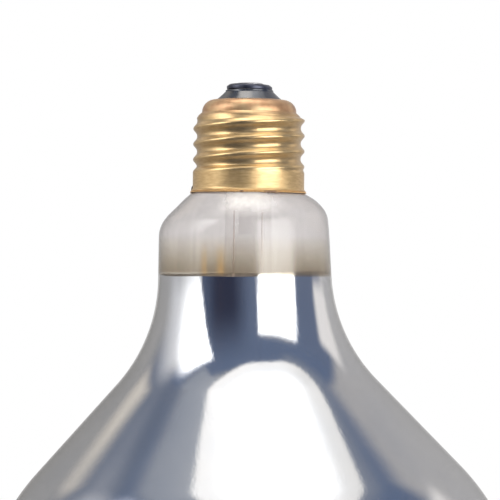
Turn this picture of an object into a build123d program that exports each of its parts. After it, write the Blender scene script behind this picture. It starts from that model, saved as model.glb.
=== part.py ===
from build123d import *
import math
import os

# A reflector heat lamp bulb, cap up, in millimetres.
# The origin is the middle of the contact's outer face. +Z runs up along the cap's axis,
# so the whole bulb hangs below z = 0. The glass leans and sits a little off that axis,
# as on the real bulb, and has an axis of its own.

# Contact and insulator
solder_radius = 3.7
solder_flat_radius = 2.9
solder_height = 0.35
plate_radius = 5.35
plate_top_radius = 4.6
plate_height = 1.3
plate_bevel_height = 0.55
insulator_top_radius = 5.62
insulator_collar_height = 0.4
insulator_foot_radius = 7.75
insulator_cone_height = 1.95
insulator_flange_height = 1.9
flange_clearance = 0.1
lead_hole_radius = 0.9
lead_funnel = 1.0

# Brass cap
sheet = 0.3
cap_hole_radius = 7.2
shoulder_radius = 11.1
shoulder_round = 2.9
shoulder_height = 3.2
crest_radius = 13.12
thread_depth = 0.88
thread_pitch = 3.629
thread_turns = 3.05
thread_start_angle = 0.0
steps_per_turn = 8
lead_in_height = 1.5
lead_in_round = 0.5
lead_in_step = 0.9
run_out_height = 1.6
band_height = 4.5
rim_flare = 0.65
rim_round = 3.0

# Neck of the glass inside the cap, on the cap's axis
glass_wall = 1.0
tube_clearance = 0.74
neck_tube_height = 10.4
rim_glass_step = 0.13
rim_glass_drop = 0.25
rim_glass_height = 2.2

# Blown bulb on its own axis, measured down from the cap's rim
bulb_shift = -1.22
bulb_tilt = 1.74
neck_radius = 20.08
neck_taper = 1.9
neck_top_drop = 11.0
neck_joint_drop = 14.0
throat_drop = 34.25
throat_round = 38.0
cone_angle = 43.1
belly_round = 50.0
belly_radius = 63.5
edge_round = 28.0
face_round = 85.0

# Shoulder of the glass between the rim and the neck: share of the drop, share of the swelling,
# and sideways drift of each section
shoulder_sections = ((0.1, 0.23, 0.33), (0.3, 0.56, 0.45), (0.55, 0.85, 0.0), (0.8, 0.975, -0.63))

# Mirror film
mirror_edge_drop = 19.1
film = 0.1

# Stem
stem_radius = 5.4
stem_wall = 1.0
flare_round = 9.0
stem_height = 22.0
press_taper_height = 5.0
press_width = 11.0
press_thickness = 3.8
press_height = 8.0
press_corner = 1.2
exhaust_radius = 2.1
exhaust_wall = 0.7
exhaust_rise = 2.6

# Wires
lead_spacing = 6.6
outer_lead_radius = 0.15
seal_wire_radius = 0.25
seal_wire_end = 1.0
feed_wire_radius = 0.5
lead_bend = 1.2
rim_bend = 0.5
lead_over_glass = 0.6
lead_rim_end = 0.3

# Filament and its supports
filament_drop = 71.0
filament_ring_radius = 11.0
filament_radius = 0.8
filament_gap_angle = 60.0
filament_bend = 1.5
feed_wire_kick_height = 9.0
feed_wire_tip = 1.2
rod_radius = 1.6
button_radius = 2.6
button_height = 4.0
rod_end_drop = 62.0
hook_count = 5
hook_wire_radius = 0.2
hook_loop_radius = 1.0

# Cement and side solder
cement_height = 1.9
cement_above_flare = 0.1
solder_blob = (0.62, 0.95, 1.2)

# Heights worked out from the sizes above
plate_top = -solder_height
plate_foot = plate_top - plate_height
insulator_cone_top = plate_foot - insulator_collar_height
cap_top = insulator_cone_top - insulator_cone_height
shoulder_foot = cap_top - shoulder_height
last_valley = shoulder_foot - lead_in_height - thread_turns * thread_pitch
band_top = last_valley - run_out_height
rim_foot = band_top - band_height
insulator_flange_radius = shoulder_radius - shoulder_round - flange_clearance
bore_radius = crest_radius - sheet
neck_tube_radius = bore_radius - thread_depth - tube_clearance
rim_glass_radius = crest_radius + rim_glass_step
glass_mouth = rim_foot - rim_glass_drop
neck_tube_foot = glass_mouth + rim_glass_height
seal_plane = neck_tube_foot + neck_tube_height
stem_foot = seal_plane - stem_height
press_top = stem_foot - press_taper_height
press_foot = press_top - press_height
filament_height = rim_foot - filament_drop
rod_foot = rim_foot - rod_end_drop
button_foot = rod_foot - button_height

# The cone runs from the corner of the neck and touches the belly's curve
taper = math.radians(neck_taper)
cone_slope = math.radians(cone_angle)
cone_corner = Vector(neck_radius + (throat_drop - neck_top_drop) * math.tan(taper), -throat_drop)
belly_reach = belly_round - (cone_corner.X - belly_radius + belly_round) * math.cos(cone_slope)
belly_drop = throat_drop + belly_reach / math.sin(cone_slope)

bulb_axis = Pos(bulb_shift, 0, rim_foot) * Rot(0, -bulb_tilt, 0)


def polar(radius, angle):
    """Point at a radius and an angle in degrees from the x axis."""
    return Vector(radius * math.cos(math.radians(angle)), radius * math.sin(math.radians(angle)))


def turned(edges):
    """Solid of revolution about Z. The edges are a closed outline with x as radius and y as height."""
    return revolve(Plane.XZ * make_face(edges), Axis.Z)


def ring(outer, inner, foot, top):
    """Plain tube about Z between two heights."""
    return turned(Polyline((inner, foot), (outer, foot), (outer, top), (inner, top), close=True).edges())


def wire_along(points, bends, radius):
    """Round wire with bent corners along a list of points."""
    route = FilletPolyline(*points, radius=bends) if len(points) > 2 else Line(*points)
    section = Plane(origin=route @ 0, z_dir=route % 0) * Circle(radius)
    return sweep(section, path=route)


def contact_solder():
    """Low round pad with a flat top, and the peg of solder that fills the plate's hole."""
    pad = turned(
        Polyline(
            (0, plate_top),
            (solder_radius, plate_top),
            (solder_flat_radius, 0),
            (0, 0),
            close=True,
        ).edges()
    )
    peg = ring(lead_hole_radius, 0, plate_foot, plate_top)
    return pad + peg


def contact_plate():
    """Round plate with a bevelled upper edge and a hole for the wire."""
    bevel_foot = plate_top - plate_bevel_height
    return turned(
        Polyline(
            (lead_hole_radius, plate_foot),
            (plate_radius, plate_foot),
            (plate_radius, bevel_foot),
            (plate_top_radius, plate_top),
            (lead_hole_radius, plate_top),
            close=True,
        ).edges()
    )


def cap_insulator():
    """Moulded cone over the cap's hole, with a flange that grips the brass from inside."""
    flange_top = cap_top - sheet
    flange_foot = flange_top - insulator_flange_height
    return turned(
        Polyline(
            (lead_hole_radius, plate_foot),
            (insulator_top_radius, plate_foot),
            (insulator_top_radius, insulator_cone_top),
            (insulator_foot_radius, cap_top),
            (cap_hole_radius, cap_top),
            (cap_hole_radius, flange_top),
            (insulator_flange_radius, flange_top),
            (insulator_flange_radius, flange_foot + sheet),
            (cap_hole_radius, flange_foot),
            (lead_hole_radius + lead_funnel, flange_foot),
            (lead_hole_radius, flange_top),
            close=True,
        ).edges()
    )


def thread_disc(turn, inset):
    """Level section of the thread at a number of turns above its last valley: a disc off the axis.

    The disc's centre goes once round the axis in each pitch, so its edge draws the rounded
    crests and valleys of a rolled right-hand thread.
    """
    angle = 360 * turn + thread_start_angle
    centre = polar(thread_depth / 2, angle)
    height = last_valley + turn * thread_pitch
    return Pos(centre.X, centre.Y, height) * Circle(crest_radius - thread_depth / 2 - inset)


def cap_form(inset):
    """Filled form of the cap, drawn in by inset on every side but the open rim."""
    steps = round(thread_turns * steps_per_turn)
    discs = [thread_disc(thread_turns * step / steps, inset) for step in range(steps + 1)]
    thread = loft(discs, ruled=True)
    run_out = loft([Pos(0, 0, band_top) * Circle(crest_radius - inset), thread_disc(0, inset)])
    top = shoulder_foot - inset
    lead_in = loft(
        [
            thread_disc(thread_turns, inset),
            Pos(0, 0, top - lead_in_round) * Circle(shoulder_radius + lead_in_step - inset),
            Pos(0, 0, top) * Circle(shoulder_radius + lead_in_step - lead_in_round - inset),
        ],
        ruled=True,
    )
    return thread + run_out + lead_in + cap_shoulder(inset) + cap_band(inset)


def cap_shoulder(inset):
    """Round shoulder of the cap, drawn in by inset, and its neck down into the thread."""
    top = cap_top - inset
    radius = shoulder_radius - inset
    curve = shoulder_round - inset
    arc = CenterArc((radius - curve, top - curve), curve, 0, 90)
    foot = shoulder_foot - inset
    return turned(
        Curve()
        + [
            arc,
            Line(arc @ 1, (0, top)),
            Line((0, top), (0, foot)),
            Line((0, foot), (radius, foot)),
            Line((radius, foot), arc @ 0),
        ]
    )


def cap_band(inset):
    """Smooth band of the cap and its flared rim, drawn in by inset."""
    outside = rim_round + sheet
    angle = math.acos(1 - rim_flare / outside)
    centre = (crest_radius + rim_round, rim_foot + outside * math.sin(angle))
    flare = CenterArc(centre, rim_round + inset, 180, math.degrees(angle))
    lip = flare @ 1
    return turned(
        Curve()
        + [
            flare,
            Line(flare @ 0, (crest_radius - inset, band_top)),
            Line((crest_radius - inset, band_top), (0, band_top)),
            Line((0, band_top), (0, lip.Y)),
            Line((0, lip.Y), lip),
        ]
    )


def screw_cap(lead):
    """Thin rolled sleeve with a hole in its top and a groove pressed into the rim by the wire."""
    hole = ring(cap_hole_radius, 0, cap_top - 2 * sheet, cap_top + sheet)
    return cap_form(0) - cap_form(sheet) - hole - lead


def bulb_face(inset):
    """Half section of the blown bulb below the shoulder, drawn in by inset. Height 0 is the cap's rim."""
    half_turn = throat_round * math.tan((cone_slope - taper) / 2)
    down_neck = Vector(math.sin(taper), -math.cos(taper))
    throat_centre = cone_corner - down_neck * half_turn + polar(throat_round, neck_taper)
    belly_centre = Vector(belly_radius - belly_round, -belly_drop)
    edge_centre = Vector(belly_radius - edge_round, -belly_drop)
    face_rise = math.sqrt((face_round - edge_round) ** 2 - edge_centre.X**2)
    face_centre = Vector(0, face_rise - belly_drop)
    edge_angle = math.degrees(math.atan2(face_rise, edge_centre.X))
    throat = CenterArc(throat_centre, throat_round + inset, 180 + neck_taper, cone_angle - neck_taper)
    belly = CenterArc(belly_centre, belly_round - inset, cone_angle, -cone_angle)
    edge = CenterArc(edge_centre, edge_round - inset, 0, -edge_angle)
    face = CenterArc(face_centre, face_round - inset, -edge_angle, edge_angle - 90)
    neck_top = throat @ 0 - down_neck * (((throat @ 0).Y + neck_joint_drop) / down_neck.Y)
    outline = [
        Line(neck_top, throat @ 0),
        throat,
        Line(throat @ 1, belly @ 0),
        belly,
        edge,
        face,
        Line(face @ 1, (0, -neck_joint_drop)),
        Line((0, -neck_joint_drop), neck_top),
    ]
    return make_face(Curve() + outline)


def neck_disc(drop, inset):
    """Cross section of the neck at a drop below the rim, square to the bulb's own axis."""
    radius = neck_radius + (drop - neck_top_drop) * math.tan(taper) - inset / math.cos(taper)
    return bulb_axis * Pos(0, 0, -drop) * Circle(radius)


def glass_form(inset, top):
    """Filled form of the glass, drawn in by inset, from the face up to the height given as top."""
    tube_radius = neck_tube_radius - inset
    mouth_radius = rim_glass_radius - inset
    tube = turned(
        Polyline(
            (0, glass_mouth),
            (mouth_radius, glass_mouth),
            (tube_radius, neck_tube_foot),
            (tube_radius, top),
            (0, top),
            close=True,
        ).edges()
    )
    shoulder_drop = neck_top_drop - rim_glass_drop
    sections = [Pos(0, 0, glass_mouth) * Circle(mouth_radius)]
    for drop_share, swell_share, drift in shoulder_sections:
        radius = rim_glass_radius + swell_share * (neck_radius - rim_glass_radius) - inset
        sections.append(Pos(drift, 0, glass_mouth - drop_share * shoulder_drop) * Circle(radius))
    sections += [neck_disc(neck_top_drop, inset), neck_disc(neck_joint_drop, inset)]
    shoulder = loft(sections)
    bulb = bulb_axis * revolve(Plane.XZ * bulb_face(inset), Axis.Z)
    return tube + shoulder + bulb


def glass_envelope():
    """One blown wall from the tube inside the cap to the domed face, open at the top for the stem."""
    return glass_form(0, seal_plane) - glass_form(glass_wall, seal_plane + glass_wall)


def mirror_coating():
    """Film on the inside of the glass, from its edge in the neck to the widest place."""
    middle = -(mirror_edge_drop + belly_drop) / 2
    band = Pos(belly_radius / 2, middle) * Rectangle(belly_radius, belly_drop - mirror_edge_drop)
    section = (bulb_face(glass_wall) - bulb_face(glass_wall + film)) & band
    return bulb_axis * revolve(Plane.XZ * section, Axis.Z)


def basing_cement(lead):
    """Ring of cement between the glass tube and the smooth part of the cap."""
    foot = neck_tube_foot + cement_above_flare
    return ring(bore_radius, neck_tube_radius, foot, foot + cement_height) - lead


def flare_arc(thickness):
    """Trumpet curve of the stem from the end of the neck tube in to the straight tube."""
    reach = neck_tube_radius - glass_wall - stem_radius
    angle = math.acos(1 - reach / flare_round)
    centre = (stem_radius + flare_round, seal_plane - flare_round * math.sin(angle))
    return CenterArc(centre, flare_round + thickness, 180 - math.degrees(angle), math.degrees(angle))


def stem_tube(wires):
    """Flared tube that closes the neck, pinched to a flat press round the two seal wires."""
    under = flare_arc(0)
    over = flare_arc(stem_wall)
    tube = turned(
        Curve()
        + [
            under,
            Line(under @ 1, (stem_radius, stem_foot)),
            Line((stem_radius, stem_foot), (stem_radius - stem_wall, stem_foot)),
            Line((stem_radius - stem_wall, stem_foot), over @ 1),
            over,
            Line(over @ 0, (neck_tube_radius, seal_plane + stem_wall)),
            Line((neck_tube_radius, seal_plane + stem_wall), (neck_tube_radius, seal_plane)),
            Line((neck_tube_radius, seal_plane), under @ 0),
        ]
    )
    flat = RectangleRounded(press_width, press_thickness, press_corner)
    taper = loft([Pos(0, 0, stem_foot) * Circle(stem_radius), Pos(0, 0, press_top) * flat])
    press = extrude(Pos(0, 0, press_foot) * flat, press_height)
    return tube + taper + press - wires


def exhaust_tube():
    """Thin tube standing on the press inside the stem, melted shut at its upper end."""
    tip = seal_plane + exhaust_rise
    inner = exhaust_radius - exhaust_wall
    outer_dome = CenterArc((0, tip), exhaust_radius, 0, 90)
    inner_dome = CenterArc((0, tip), inner, 0, 90)
    return turned(
        Curve()
        + [
            Line((inner, stem_foot), (exhaust_radius, stem_foot)),
            Line((exhaust_radius, stem_foot), (exhaust_radius, tip)),
            outer_dome,
            Line(outer_dome @ 1, inner_dome @ 1),
            inner_dome,
            Line((inner, tip), (inner, stem_foot)),
        ]
    )


def seal_wire(side):
    """Straight wire through the press, standing a little out of it at both ends."""
    x = side * lead_spacing / 2
    ends = [(x, 0, press_foot - seal_wire_end), (x, 0, stem_foot + seal_wire_end)]
    return wire_along(ends, 0, seal_wire_radius)


def contact_lead():
    """Thin wire from the stem up over the exhaust tip and through the insulator into the solder."""
    x = lead_spacing / 2
    turn_off = seal_plane + exhaust_rise
    turn_up = turn_off + exhaust_radius + lead_bend
    points = [
        (x, 0, stem_foot + seal_wire_end),
        (x, 0, turn_off),
        (0, 0, turn_up),
        (0, 0, plate_top),
    ]
    return wire_along(points, lead_bend, outer_lead_radius)


def side_lead():
    """Thin wire from the stem over the end of the glass and down inside the cap to its rim."""
    x = lead_spacing / 2
    over_glass = seal_plane + stem_wall + lead_over_glass + lead_bend
    gap_radius = (neck_tube_radius + crest_radius - thread_depth - sheet) / 2
    rim_radius = rim_glass_radius + 2 * outer_lead_radius
    rim_end = rim_foot - lead_rim_end
    points = [
        (-x, 0, stem_foot + seal_wire_end),
        (-x, 0, over_glass),
        (-gap_radius, 0, over_glass),
        (-gap_radius, 0, neck_tube_foot + cement_above_flare),
        (-rim_radius, 0, rim_foot + outer_lead_radius),
        (-rim_radius, 0, rim_end),
    ]
    return wire_along(points, [lead_bend, rim_bend, rim_bend, outer_lead_radius], outer_lead_radius)


def side_solder(neighbours):
    """Drop of solder over the rim where the side wire comes out."""
    depth, width, height = solder_blob
    drop = Pos(-crest_radius - rim_flare / 2, 0, rim_foot) * scale(Sphere(1), by=(depth, width, height))
    for neighbour in neighbours:
        drop = drop - neighbour
    return max(drop.solids(), key=lambda piece: piece.volume)


def filament_point(place):
    """Corner of the filament: 0 and hook_count + 1 are its two ends, the others lie at the hooks."""
    spread = (360 - filament_gap_angle) / (hook_count + 1)
    corner = polar(filament_ring_radius, filament_gap_angle / 2 - 90 + spread * place)
    return Vector(corner.X, corner.Y, filament_height)


def filament():
    """Coil drawn as its outer form: straight runs from hook to hook round an open ring."""
    corners = [filament_point(place) for place in range(hook_count + 2)]
    return wire_along(corners, filament_bend, filament_radius)


def feed_wire(side):
    """Stiff wire from the press down beside one end of the filament."""
    x = side * lead_spacing / 2
    end = filament_point(0 if side > 0 else hook_count + 1)
    run = (end - filament_point(1 if side > 0 else hook_count)).normalized()
    tip = end + run * feed_wire_radius
    points = [
        (x, 0, press_foot - seal_wire_end),
        (x, 0, filament_height + feed_wire_kick_height),
        (tip.X, tip.Y, filament_height + filament_radius + lead_bend),
        (tip.X, tip.Y, filament_height - feed_wire_tip),
    ]
    return wire_along(points, lead_bend, feed_wire_radius)


def support_rod(hooks):
    """Glass rod on the press that ends in a round button round the roots of the hooks."""
    button = CenterArc((0, button_foot + button_radius), button_radius, -90, 90)
    body = turned(
        Curve()
        + [
            button,
            Line(button @ 1, (button_radius, rod_foot)),
            Line((button_radius, rod_foot), (rod_radius, rod_foot + rod_radius)),
            Line((rod_radius, rod_foot + rod_radius), (rod_radius, press_foot)),
            Line((rod_radius, press_foot), (0, press_foot)),
            Line((0, press_foot), (0, button_foot)),
        ]
    )
    return body - hooks


def filament_hook(index):
    """Fine wire from the button out to the filament, bent into a loop round the coil."""
    corner = filament_point(index + 1)
    angle = math.degrees(math.atan2(corner.Y, corner.X))
    root_height = rod_foot - button_height / 2
    outside = filament_ring_radius + filament_radius + hook_wire_radius
    points = [
        (button_radius / 2, 0, root_height),
        (button_radius + hook_loop_radius, 0, root_height),
        (outside, 0, filament_height + filament_radius + hook_loop_radius),
        (outside, 0, filament_height - hook_loop_radius),
    ]
    return Rot(0, 0, angle) * wire_along(points, hook_loop_radius / 2, hook_wire_radius)


def build():
    """Every piece by its name."""
    side_wire = side_lead()
    cap = screw_cap(side_wire)
    glass = glass_envelope()
    seal_wires = {"seal_wire_left": seal_wire(-1), "seal_wire_right": seal_wire(1)}
    hooks = {f"filament_hook_{index + 1}": filament_hook(index) for index in range(hook_count)}
    pieces = {
        "contact_solder": contact_solder() - contact_lead(),
        "contact_plate": contact_plate(),
        "cap_insulator": cap_insulator(),
        "screw_cap": cap,
        "basing_cement": basing_cement(side_wire),
        "side_solder": side_solder([cap, glass, side_wire]),
        "glass_envelope": glass,
        "mirror_coating": mirror_coating(),
        "stem_tube": stem_tube(list(seal_wires.values())),
        "exhaust_tube": exhaust_tube(),
        "contact_lead": contact_lead(),
        "side_lead": side_wire,
        "feed_wire_left": feed_wire(-1),
        "feed_wire_right": feed_wire(1),
        "support_rod": support_rod(list(hooks.values())),
        "filament": filament(),
    }
    pieces.update(seal_wires)
    pieces.update(hooks)
    return pieces


os.makedirs("parts", exist_ok=True)
for name, piece in build().items():
    export_step(piece, f"parts/{name}.step")
    print(f"{name}: {piece.volume:.2f} mm3")
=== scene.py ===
import math
import bmesh
import bpy
import numpy as np
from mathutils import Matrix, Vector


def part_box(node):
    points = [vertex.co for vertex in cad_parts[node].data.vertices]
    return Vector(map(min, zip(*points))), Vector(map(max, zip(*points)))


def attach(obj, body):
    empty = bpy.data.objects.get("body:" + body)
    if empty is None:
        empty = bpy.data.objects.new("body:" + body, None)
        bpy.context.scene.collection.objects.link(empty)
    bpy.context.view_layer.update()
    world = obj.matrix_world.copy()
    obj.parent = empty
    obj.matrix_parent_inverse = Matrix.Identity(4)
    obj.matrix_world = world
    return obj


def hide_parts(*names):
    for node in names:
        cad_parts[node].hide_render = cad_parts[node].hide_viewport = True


# Looks of a reflector heat lamp bulb, cap up. Shapes are worked out in millimetres in the part's
# own frame: the origin is the middle of the contact's outer face and +Z runs up the cap's axis.

MM = 0.001
TAU = 2 * math.pi

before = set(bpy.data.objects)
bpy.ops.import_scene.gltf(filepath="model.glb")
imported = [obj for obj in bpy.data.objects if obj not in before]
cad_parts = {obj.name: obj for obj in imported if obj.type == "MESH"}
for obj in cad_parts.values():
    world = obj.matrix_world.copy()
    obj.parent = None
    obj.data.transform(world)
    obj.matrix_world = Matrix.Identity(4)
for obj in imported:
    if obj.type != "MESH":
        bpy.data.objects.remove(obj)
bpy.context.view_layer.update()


def box_mm(node):
    """Lowest and highest corner of a solid in millimetres."""
    low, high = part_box(node)
    return np.array(low) / MM, np.array(high) / MM


# Heights and radii read from the solids
CAP_LOW, CAP_HIGH = box_mm("screw_cap")
GLASS_LOW, GLASS_HIGH = box_mm("glass_envelope")
INSULATOR_LOW, INSULATOR_HIGH = box_mm("cap_insulator")
PLATE_LOW, PLATE_HIGH = box_mm("contact_plate")
SOLDER_LOW, SOLDER_HIGH = box_mm("contact_solder")
STEM_FOOT = box_mm("stem_tube")[0][2]
EXHAUST_LOW, EXHAUST_HIGH = box_mm("exhaust_tube")
ROD_LOW, ROD_HIGH = box_mm("support_rod")
COIL_LOW, COIL_HIGH = box_mm("filament")
CEMENT_LOW, CEMENT_HIGH = box_mm("basing_cement")
DROP_LOW, DROP_HIGH = box_mm("side_solder")
RIM = CAP_LOW[2]
CAP_TOP = CAP_HIGH[2]
SEAL = GLASS_HIGH[2]
BELLY_RADIUS = (GLASS_HIGH[1] - GLASS_LOW[1]) / 2

# Brass cap
SHEET = 0.3
CREST_RADIUS = 13.12
CAP_HOLE_RADIUS = 7.2
SHOULDER_RADIUS = 11.1
SHOULDER_ROUND = 2.9
SHOULDER_HEIGHT = 3.2
THREAD_DEPTH = 0.92
THREAD_PITCH = 3.629
LEAD_IN_HEIGHT = 0.9
# 0 gives crests as wide as the valleys, and more gives narrower ones
CREST_SHARPNESS = 0.26
# Height by which the thread's right side lies above its left, beyond the climb of the thread itself
THREAD_SKEW = 0.36
RUN_OUT_HEIGHT = 1.6
BAND_HEIGHT = 4.5
RIM_ROUND = 0.9
SHOULDER_FOOT = CAP_TOP - SHOULDER_HEIGHT
BAND_TOP = RIM + BAND_HEIGHT
LAST_VALLEY = BAND_TOP + RUN_OUT_HEIGHT
# Hole for the lead, through the insulator and the contact plate
LEAD_BORE = 0.9

# Blown glass: its own axis, and the half section of the bulb measured down from the cap's rim
WALL = 1.0
# Thinner than the real wall: light bends in glass, so the inside seems to reach its very edge
SIGHT_WALL = 0.3
FILM_GAP = 0.02
TUBE_RADIUS = 11.2
MOUTH_RADIUS = 13.25
MOUTH_DROP = 0.25
MOUTH_HEIGHT = 2.2
BULB_SHIFT = -1.22
BULB_TILT = math.radians(1.74)
NECK_RADIUS = 20.08
NECK_TAPER = math.radians(1.9)
NECK_TOP_DROP = 11.0
THROAT_DROP = 34.25
THROAT_ROUND = 38.0
CONE_ANGLE = math.radians(43.1)
BELLY_ROUND = 50.0
BULB_COLUMNS = 192
BELLY_DROP = 99.57
EDGE_ROUND = 28.0
FACE_ROUND = 85.0
# Between the rim and the neck: drop, share of the swelling, sideways drift of the section
SHOULDER = ((0.1, 0.23, 0.33), (0.3, 0.56, 0.45), (0.55, 0.85, 0.0), (0.8, 0.975, -0.63))

# Mirror film
FILM = 0.1
FILM_EDGE_DROP = 19.1
FILM_EDGE = RIM - FILM_EDGE_DROP
# Amber streaks above the film: bearing in degrees from the front, and width
AMBER_STREAKS = ((-27.0, 1.6), (-15.5, 2.4))

# Cement under the rim: radius of its bead, and bearing from the front and width of its crumbs
BEAD_RADIUS = 13.5
CRUMBS = ((-6.5, 2.2), (22.0, 7.5))

# Stem, wires and filament
STEM_RADIUS = 5.4
FLARE_ROUND = 9.0
STEM_HEIGHT = 22.0
PRESS_TAPER = 5.0
PRESS_WIDTH = 11.0
PRESS_THICKNESS = 3.8
EXHAUST_RADIUS = 2.1
COIL_RING_RADIUS = 11.0
COIL_GAP = 60.0
COIL_WIRE = 0.11
COIL_PITCH = 0.42
HOOKS = 5

# The photograph's frame
PHOTO_SIZE = 500
PIXELS_PER_MM = 4.247
CAMERA_DISTANCE = 550.0
CAMERA_ROLL = math.radians(0.64)
ORIGIN_PIXEL = (249.58, 83.2)


# Curves and grids


def ease(t):
    """Goes from 0 to 1 with level ends: 3t^2 - 2t^3 of t held between 0 and 1."""
    t = np.clip(t, 0, 1)
    return t * t * (3 - 2 * t)


def hill(x, place, width, power=2):
    """1 at a place, and down to 1/e at a width to either side of it."""
    return np.exp(-(((x - place) / width) ** power))


def unit(vectors):
    """Vectors brought to length 1."""
    return vectors / np.linalg.norm(vectors, axis=-1, keepdims=True)


def distances(path):
    """How far along a path each of its points lies."""
    return np.concatenate([[0], np.cumsum(np.linalg.norm(np.diff(path, axis=0), axis=1))])


def arc(centre, radius, start, end, count):
    """Points on a circle from one angle to another, in radians."""
    angle = np.linspace(start, end, count)
    return np.stack([centre[0] + radius * np.cos(angle), centre[1] + radius * np.sin(angle)], 1)


def join(*stretches):
    """One outline from several, with each point that repeats the one before it left out."""
    points = np.concatenate([np.atleast_2d(stretch) for stretch in stretches])
    step = np.linalg.norm(np.diff(points, axis=0), axis=1)
    return points[np.concatenate([[True], step > 1e-6])]


def rounded(corners, radius):
    """Outline through corners, each eased by an arc of 6 points whose tangents leave it at radius
    times the tangent of half the turn; a radius may be given for each inner corner."""
    corners = np.asarray(corners, float)
    radii = np.broadcast_to(radius, len(corners) - 2)
    parts = [corners[:1]]
    for before, corner, after, bend in zip(corners, corners[1:], corners[2:], radii):
        into, out = unit(corner - before), unit(after - corner)
        turn = math.atan2(into[0] * out[1] - into[1] * out[0], float(into @ out))
        if abs(turn) < 1e-4 or bend == 0:
            parts.append(corner[None])
            continue
        room = 0.48 * min(np.linalg.norm(corner - before), np.linalg.norm(after - corner))
        reach = min(bend * math.tan(abs(turn) / 2), room)
        bend = reach / math.tan(abs(turn) / 2)
        side = math.copysign(1, turn) * np.array([-into[1], into[0]])
        centre = corner - into * reach + side * bend
        first = math.atan2(-side[1], -side[0])
        parts.append(arc(centre, bend, first, first + turn, 6))
    parts.append(corners[-1:])
    return join(*parts)


def through(xs, ys, x):
    """Smooth curve through knots: cubic pieces whose slopes at a knot are those of the chord
    between its two neighbours."""
    xs, ys, x = np.asarray(xs, float), np.asarray(ys, float), np.asarray(x, float)
    slope = np.gradient(ys, xs)
    k = np.clip(np.searchsorted(xs, x) - 1, 0, len(xs) - 2)
    width = xs[k + 1] - xs[k]
    t = np.clip((x - xs[k]) / width, 0, 1)
    return (
        ys[k] * (1 + 2 * t) * (1 - t) ** 2
        + ys[k + 1] * (3 - 2 * t) * t * t
        + width * (slope[k] * t * (1 - t) ** 2 - slope[k + 1] * (1 - t) * t * t)
    )


def round_axis(radius, angle, height):
    """Points at a radius and an angle about Z and at a height; each may be a number or a grid."""
    return np.stack(np.broadcast_arrays(radius * np.cos(angle), radius * np.sin(angle), height), -1)


def turns(steps):
    """Angles of one whole turn in equal steps, without its end."""
    return np.arange(steps) * TAU / steps


def spun(profile, steps):
    """Grid of an outline (radius, height) turned about Z."""
    return round_axis(profile[:, :1], turns(steps), profile[:, 1:2])


def surface(name, grid, loop_rows=False, loop_columns=True, crease=40.0, fields=None):
    """Mesh object from a grid of points in millimetres, rows by columns, closed round its
    columns or its rows where asked. Equal points merge, so poles and seams close. Faces point
    outwards and shade smoothly, apart from edges sharper than the crease in degrees."""
    rows, columns = grid.shape[:2]
    index = np.arange(rows * columns).reshape(rows, columns)
    if loop_rows:
        index = np.vstack([index, index[:1]])
    if loop_columns:
        index = np.hstack([index, index[:, :1]])
    quads = np.stack([index[:-1, :-1], index[:-1, 1:], index[1:, 1:], index[1:, :-1]], 2).reshape(-1, 4)
    mesh = bpy.data.meshes.new(name)
    mesh.from_pydata((grid.reshape(-1, 3) * MM).tolist(), [], quads.tolist())
    for field, values in (fields or {}).items():
        values = np.ascontiguousarray(values, np.float32)
        kind, part = ("FLOAT", "value") if values.ndim == 2 else ("FLOAT_COLOR", "color")
        mesh.attributes.new(field, kind, "POINT").data.foreach_set(part, values.ravel())
    work = bmesh.new()
    work.from_mesh(mesh)
    bmesh.ops.remove_doubles(work, verts=work.verts, dist=2e-7)
    bmesh.ops.dissolve_degenerate(work, edges=work.edges, dist=1e-7)
    bmesh.ops.recalc_face_normals(work, faces=work.faces)
    work.to_mesh(mesh)
    work.free()
    mesh.shade_smooth()
    mesh.set_sharp_from_angle(angle=math.radians(crease))
    piece = bpy.data.objects.new(name, mesh)
    bpy.context.scene.collection.objects.link(piece)
    return piece


def carried(path, radius, sides):
    """Grid of a round section carried along a path. Each ring lies square to the path, turned as
    little as can be from the one before it; the ends close in a point."""
    along = unit(np.gradient(path, axis=0))
    start = np.array([1.0, 0, 0]) if abs(along[0, 0]) < 0.9 else np.array([0, 1.0, 0])
    side = np.empty_like(path)
    side[0] = unit(start - along[0] * (start @ along[0]))
    for row in range(1, len(path)):
        side[row] = unit(side[row - 1] - along[row] * (side[row - 1] @ along[row]))
    other = np.cross(along, side)
    angle = turns(sides)[None, :, None]
    rings = path[:, None] + radius * (side[:, None] * np.cos(angle) + other[:, None] * np.sin(angle))
    ends = np.repeat(path[:, None], sides, 1)
    return np.concatenate([ends[:1], rings, ends[-1:]])


def soft_route(points, bend, steps):
    """Route of straight runs in space, with a parabola as wide as an arc of radius bend in place
    of each corner."""
    parts = [points[:1]]
    for before, corner, after in zip(points, points[1:], points[2:]):
        into, out = corner - before, after - corner
        room = 0.48 * min(np.linalg.norm(into), np.linalg.norm(out))
        into, out = unit(into), unit(out)
        turn = math.acos(float(np.clip(into @ out, -1, 1)))
        reach = min(bend * math.tan(turn / 2), room)
        if reach < 1e-6:
            continue
        t = np.linspace(0, 1, steps)[:, None]
        start, end = corner - into * reach, corner + out * reach
        parts.append((1 - t) ** 2 * start + 2 * t * (1 - t) * corner + t * t * end)
    parts.append(points[-1:])
    return join(*parts)


# Materials


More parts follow.
